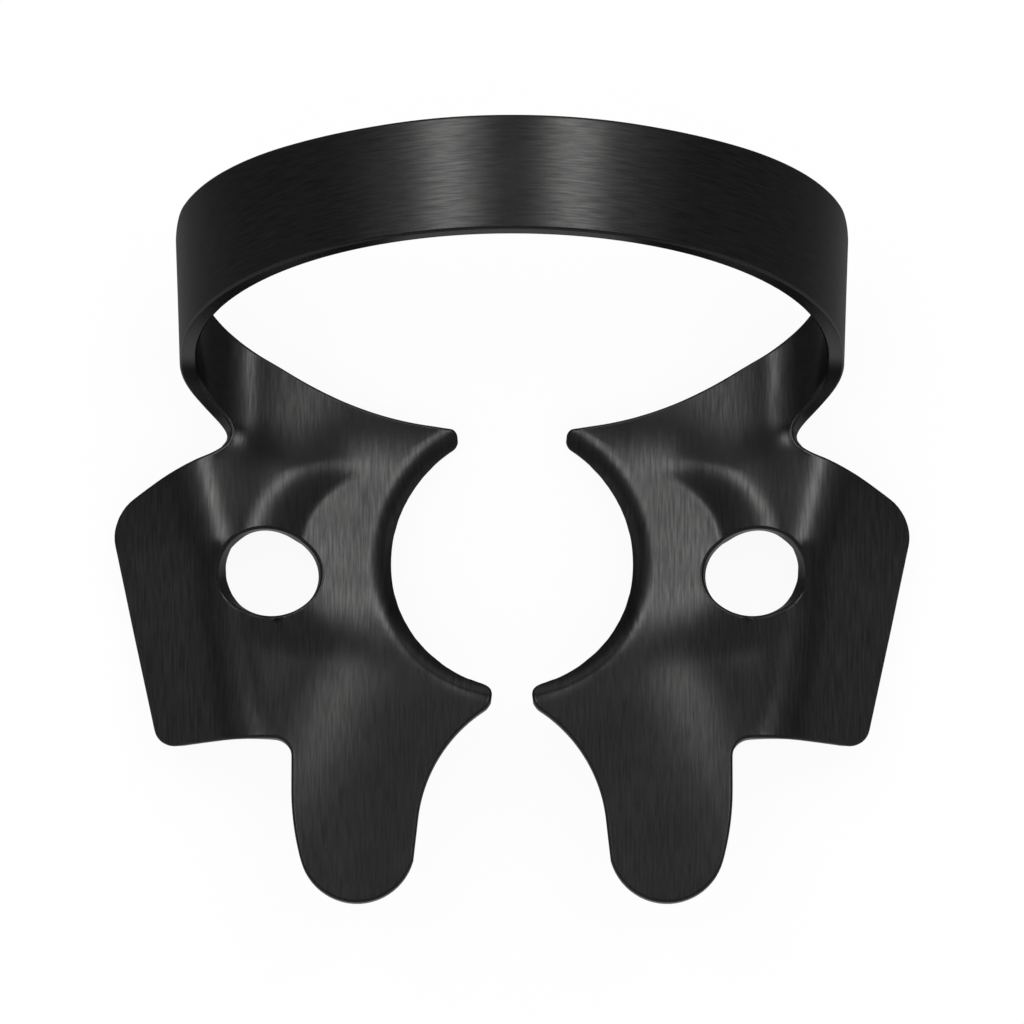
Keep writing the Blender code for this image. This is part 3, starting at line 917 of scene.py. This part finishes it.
@dataclass(frozen=True)
class CoatedSteel:
    """Near-black coating over steel that was brushed before it was coated."""

    name: str
    region: Region
    dark: tuple[float, float, float] = (0.030, 0.030, 0.0305)
    light: tuple[float, float, float] = (0.058, 0.057, 0.0555)
    metallic: float = 0.92
    roughness: float = 0.20
    roughness_spread: float = 0.08
    hairline: float = 12.0 / MM
    hairline_stretch: float = 14.0
    groove_depth: float = 0.0004 * MM
    hairline_detail: float = 4.0
    hairline_roughness: float = 0.62
    strip_start: float = 10.6 * MM
    strip_blend: float = 2.2 * MM
    strip_front: float = 2.6 * MM
    strip_front_blend: float = 0.8 * MM
    mottle: float = 0.35 / MM
    mottle_share: float = 0.5
    mottle_roughness: float = 0.06
    grain: float = 14.0 / MM
    grain_share: float = 0.12
    line_low: float = 0.30
    line_contrast: float = 2.2

    def streaks(self, g: Graph, attribute: str, across_first: bool) -> Term:
        """Fine lines along one direction of the sheet.

        Args:
            g: The material's tree.
            attribute: The brushing coordinates that the lines follow.
            across_first: Whether the lines run along the second coordinate.

        Returns:
            The lines' height, from 0 to 1.
        """
        place = g.node("ShaderNodeAttribute", {"attribute_name": attribute})
        along = self.hairline / self.hairline_stretch
        scale = (self.hairline, along, 1.0) if across_first else (along, self.hairline, 1.0)
        stretched = g.node(
            "ShaderNodeVectorMath", {"operation": "MULTIPLY"}, {0: place.outputs["Vector"], 1: scale}
        )
        noise = g.node(
            "ShaderNodeTexNoise",
            {"noise_dimensions": "2D"},
            {
                "Vector": stretched.outputs[0],
                "Scale": 1.0,
                "Detail": self.hairline_detail,
                "Roughness": self.hairline_roughness,
            },
        )
        return Term(g, noise.outputs[0])

    def brushing(self, g: Graph) -> Term:
        """Brush lines that run along the strip on the bow and lengthwise on the jaws."""
        place = g.node("ShaderNodeAttribute", {"attribute_name": "brush_jaw"})
        separate = g.node("ShaderNodeSeparateXYZ", None, {0: place.outputs["Vector"]})
        outwards = g.math("ABSOLUTE", Term(g, separate.outputs[0]))
        on_strip = g.smoothstep((outwards - self.strip_start) / self.strip_blend)
        behind = g.smoothstep((Term(g, separate.outputs[1]) - self.strip_front) / self.strip_front_blend)
        strip = self.streaks(g, "brush_strip", False)
        jaw = self.streaks(g, "brush_jaw", True)
        return g.blend(on_strip * behind, jaw, strip)

    def material(self) -> bpy.types.Material:
        """Build the finish."""
        material = bpy.data.materials.new(self.name)
        g = Graph.emptied(material)
        place = g.node("ShaderNodeTexCoord")
        where = place.outputs["Object"]
        mottle, grain = (
            Term(g, g.node("ShaderNodeTexNoise", None, {"Vector": where, **noise}).outputs[0])
            for noise in ({"Scale": self.mottle, "Detail": 3.0}, {"Scale": self.grain, "Detail": 2.0})
        )
        lines = self.brushing(g) if self.region is Region.FACE else grain
        cloud = mottle - 0.5
        level = g.clamp((lines - self.line_low) * self.line_contrast + cloud * self.mottle_share, 0.0, 1.0)
        colour = g.node(
            "ShaderNodeMix", {"data_type": "RGBA"}, {0: level, 6: (*self.dark, 1), 7: (*self.light, 1)}
        )
        roughness = self.roughness + self.roughness_spread * (1.0 - lines) + self.mottle_roughness * cloud
        height = lines + self.grain_share * grain
        bump = g.node(
            "ShaderNodeBump", None, {"Strength": 1.0, "Distance": self.groove_depth, "Height": height}
        )
        shader = g.node(
            "ShaderNodeBsdfPrincipled",
            None,
            {
                "Base Color": colour.outputs[2],
                "Metallic": self.metallic,
                "Roughness": roughness,
                "Normal": bump.outputs[0],
            },
        )
        g.node("ShaderNodeOutputMaterial", None, {"Surface": shader.outputs[0]})
        return material


@dataclass(frozen=True)
class TentGlow:
    """How bright the tent is, by the direction from straight up, in degrees.

    Every fade is given by where it starts and how wide it is.
    """

    even: float = 0.13
    strip: float = 4.2
    strip_at: float = 21.0
    strip_width: float = 7.5
    strip_front: tuple[float, float] = (-9.0, 13.0)
    strip_back: tuple[float, float] = (48.0, 30.0)
    seam: float = 0.35
    seam_width: float = 9.9
    seam_front: tuple[float, float] = (-5.0, 15.0)
    ceiling: tuple[float, float] = (0.14, 0.46)
    ceiling_front: tuple[float, float] = (-14.0, 32.0)
    ceiling_side: tuple[float, float] = (63.0, 33.0)
    front_side: float = 0.26
    front_side_from: tuple[float, float] = (58.0, 14.0)
    front_side_back: tuple[float, float] = (9.0, 12.0)
    least: float = 0.02

    @staticmethod
    def rising(g: Graph, angle: Term, fade: tuple[float, float]) -> Term:
        """0 before the fade's start and 1 after its width."""
        return g.smoothstep((angle - fade[0]) / fade[1])

    @staticmethod
    def falling(g: Graph, angle: Term, fade: tuple[float, float]) -> Term:
        """0 beyond the fade's start and 1 once its width below it."""
        return g.smoothstep((fade[0] - angle) / fade[1])

    def at(self, g: Graph, sideways: Term, backwards: Term) -> Term:
        """Glow in a direction.

        Args:
            g: The cloth's tree.
            sideways: Tilt to either side, from 0 to 180.
            backwards: Tilt towards the bow, from -90 to 90.

        Returns:
            The glow's strength.
        """
        strip = g.bell((sideways - self.strip_at) / self.strip_width)
        strip = strip * self.rising(g, backwards, self.strip_front)
        strip = strip * self.falling(g, backwards, self.strip_back)
        seam = g.bell(sideways / self.seam_width) * self.rising(g, backwards, self.seam_front)
        ceiling = g.blend(self.rising(g, backwards, self.ceiling_front), *self.ceiling)
        ceiling = ceiling * self.falling(g, sideways, self.ceiling_side)
        front_side = self.rising(g, sideways, self.front_side_from)
        front_side = front_side * self.falling(g, backwards, self.front_side_back)
        glow = self.even + ceiling + self.strip * strip + self.front_side * front_side - self.seam * seam
        return g.math("MAXIMUM", glow, self.least)


@dataclass(frozen=True)
class Studio:
    """White table, soft lamps and a camera over the clamp.

    Directions are given in the forming position, as (sideways, backwards) tilts from straight up.
    """

    seat: Matrix
    camera_tilt: float = math.radians(16)
    camera_distance: float = 400 * MM
    lens: float = 365.6
    floor_size: float = 1.6
    lamp_distance: float = 300 * MM
    tent_radius: float = 350 * MM
    glow: TentGlow = field(default_factory=TentGlow)
    lamp_at: tuple[float, float] = (23.0, 16.0)
    lamp_size: tuple[float, float] = (70 * MM, 260 * MM)
    lamp_power: float = 0.17
    table_white: tuple[float, float, float] = (0.92, 0.92, 0.92)
    table_glow: float = 0.93
    room_light: float = 0.9

    def direction(self, sideways: float, backwards: float) -> Vector:
        """Unit vector in the room towards a tilt from straight up, in degrees."""
        a, b = math.radians(sideways), math.radians(backwards)
        towards = Vector((math.sin(a), math.cos(a) * math.sin(b), math.cos(a) * math.cos(b)))
        return self.seat.to_3x3() @ towards

    def camera(self) -> None:
        """Look at the clamp as the photographer did."""
        data = bpy.data.cameras.new("camera")
        data.lens = self.lens
        data.clip_end = 10
        camera = placed("camera", data)
        view = Matrix.Rotation(self.camera_tilt, 4, "X")
        camera.matrix_world = self.seat @ view @ Matrix.Translation((0, 0, self.camera_distance))
        bpy.context.scene.camera = camera

    def lamp(self, name: str, side: int) -> None:
        """Hang a rectangular soft lamp that faces the clamp.

        Args:
            name: The lamp's name.
            side: 1 for the lamp on the right, -1 for the left.
        """
        data = bpy.data.lights.new(name, "AREA")
        data.shape = "RECTANGLE"
        data.size, data.size_y = self.lamp_size
        data.energy = self.lamp_power
        lamp = placed(name, data)
        towards = self.direction(self.lamp_at[0] * side, self.lamp_at[1])
        lamp.location = towards * self.lamp_distance
        lamp.rotation_euler = towards.to_track_quat("Z", "Y").to_euler()
        lamp.visible_glossy = False

    def tent(self) -> None:
        """Close the room with a light tent, which only the clamp's reflections show.

        Its cloth glows most in two long strips overhead, least in the seam between them, and
        little at the sides and in front.
        """
        mesh = bpy.data.meshes.new("light_tent")
        shape = bmesh.new()
        bmesh.ops.create_icosphere(shape, subdivisions=4, radius=self.tent_radius)
        shape.to_mesh(mesh)
        shape.free()
        mesh.materials.append(self.cloth())
        tent = placed("light_tent", mesh)
        tent.matrix_world = self.seat
        tent.visible_camera = tent.visible_diffuse = tent.visible_shadow = False

    def cloth(self) -> bpy.types.Material:
        """The tent's cloth, whose glow depends on the place on the tent."""
        material = bpy.data.materials.new("tent_cloth")
        g = Graph.emptied(material)
        place = g.node("ShaderNodeTexCoord")
        separate = g.node("ShaderNodeSeparateXYZ", None, {0: place.outputs["Object"]})
        x, y, z = (Term(g, socket) / self.tent_radius for socket in separate.outputs)
        sideways = g.math("DEGREES", g.math("ARCTAN2", g.math("ABSOLUTE", x), z))
        backwards = g.math("DEGREES", g.math("ARCSINE", y))
        glow = self.glow.at(g, sideways, backwards)
        tint = g.node("ShaderNodeCombineColor", None, {0: glow, 1: glow, 2: glow})
        light = g.node("ShaderNodeEmission", None, {"Color": tint.outputs[0], "Strength": 1.0})
        g.node("ShaderNodeOutputMaterial", None, {"Surface": light.outputs[0]})
        return material

    def plain(self, name: str, colour: tuple[float, float, float], glow: float) -> bpy.types.Material:
        """A matt finish, of which the camera sees a share as pure glow.

        Args:
            name: The finish's name.
            colour: Its colour.
            glow: Share of plain white that camera and mirror rays see.

        Returns:
            The finish.
        """
        material = bpy.data.materials.new(name)
        g = Graph.emptied(material)
        matt = g.node("ShaderNodeBsdfDiffuse", None, {"Color": (*colour, 1)})
        white = g.node("ShaderNodeEmission", None, {"Color": (1, 1, 1, 1), "Strength": 1.0})
        share = g.seen_directly() * glow
        mix = g.node("ShaderNodeMixShader", None, {0: share, 1: matt.outputs[0], 2: white.outputs[0]})
        g.node("ShaderNodeOutputMaterial", None, {"Surface": mix.outputs[0]})
        return material

    def floor(self) -> None:
        """Lay the white table top."""
        mesh = bpy.data.meshes.new("table_top")
        s = self.floor_size / 2
        mesh.from_pydata([(-s, -s, 0), (s, -s, 0), (s, s, 0), (-s, s, 0)], [], [(0, 1, 2, 3)])
        mesh.materials.append(self.plain("white_table", self.table_white, self.table_glow))
        floor = placed("table_top", mesh)
        floor.visible_glossy = False

    def world(self) -> None:
        """Fill the room with even white light."""
        world = bpy.data.worlds.new("room")
        g = Graph.emptied(world)
        strength = g.blend(g.seen_directly(), self.room_light, 1.0)
        background = g.node("ShaderNodeBackground", None, {"Color": (1, 1, 1, 1), "Strength": strength})
        g.node("ShaderNodeOutputWorld", None, {"Surface": background.outputs[0]})
        bpy.context.scene.world = world

    def build(self) -> None:
        """Set up the whole studio."""
        self.camera()
        self.floor()
        self.world()
        for side in (-1, 1):
            self.lamp(f"soft_lamp_{side}", side)
        self.tent()
        bpy.context.scene.view_settings.view_transform = "Standard"


def main() -> None:
    """Build the clamp and the studio, and report each piece."""
    logging.basicConfig(level=logging.INFO, format="%(name)s: %(message)s")
    clamp = Clamp()
    coat = CoatedSteel("brushed_black_coat", Region.FACE).material()
    rim = CoatedSteel("tumbled_black_rim", Region.RIM, groove_depth=0.0008 * MM).material()
    piece, seat = clamp.build(coat, rim)
    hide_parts(NODE)
    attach(piece, "root")
    log.info("%s: %d faces", piece.name, len(piece.data.polygons))
    Studio(seat).build()
    log.info("studio ready")


if __name__ == "__main__":
    main()
